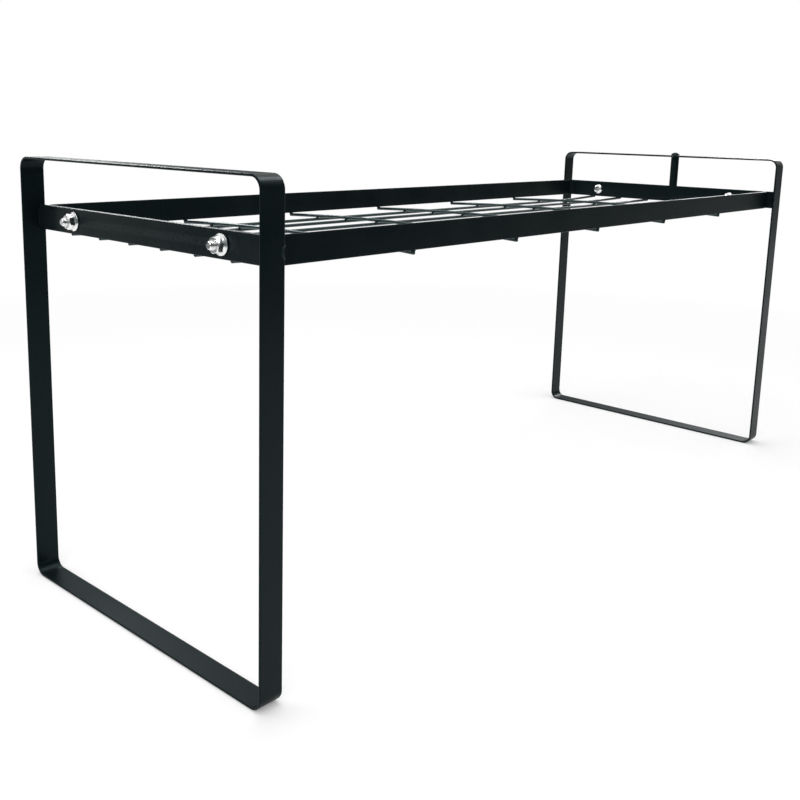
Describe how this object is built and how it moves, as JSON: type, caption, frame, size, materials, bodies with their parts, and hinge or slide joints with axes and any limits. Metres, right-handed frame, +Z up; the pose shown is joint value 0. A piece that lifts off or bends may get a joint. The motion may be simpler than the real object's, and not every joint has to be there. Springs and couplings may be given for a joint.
{
  "type": "shelf organizer",
  "caption": "Black metal shelf organizer: a wire-floored tray bolted between closed flat-bar hoops that form the legs and the raised end guards.",
  "frame": {"origin": "on the ground under the middle of the shelf", "axes": "+X along the length towards the end with the guard post, +Y from front to rear, +Z up"},
  "size_m": [0.67, 0.235, 0.2891],
  "materials": {
    "powder_coat": "satin black powder coat",
    "zinc_plate": "bright zinc plate"
  },
  "bodies": {
    "root": {"left_hoop": "powder_coat", "right_hoop": "powder_coat", "left_crossbar": "powder_coat", "right_crossbar": "powder_coat", "tray_rim": "powder_coat", "long_wire_1": "powder_coat", "long_wire_2": "powder_coat", "long_wire_3": "powder_coat", "long_wire_4": "powder_coat", "long_wire_5": "powder_coat", "long_wire_6": "powder_coat", "cross_wire_1": "powder_coat", "cross_wire_2": "powder_coat", "cross_wire_3": "powder_coat", "cross_wire_4": "powder_coat", "cross_wire_5": "powder_coat", "guard_post": "powder_coat", "screw_front_left": "zinc_plate", "screw_front_right": "zinc_plate", "screw_rear_left": "zinc_plate", "screw_rear_right": "zinc_plate", "flange_nut_front_left": "zinc_plate", "flange_nut_front_right": "zinc_plate", "flange_nut_rear_left": "zinc_plate", "flange_nut_rear_right": "zinc_plate"}
  },
  "joints": []
}
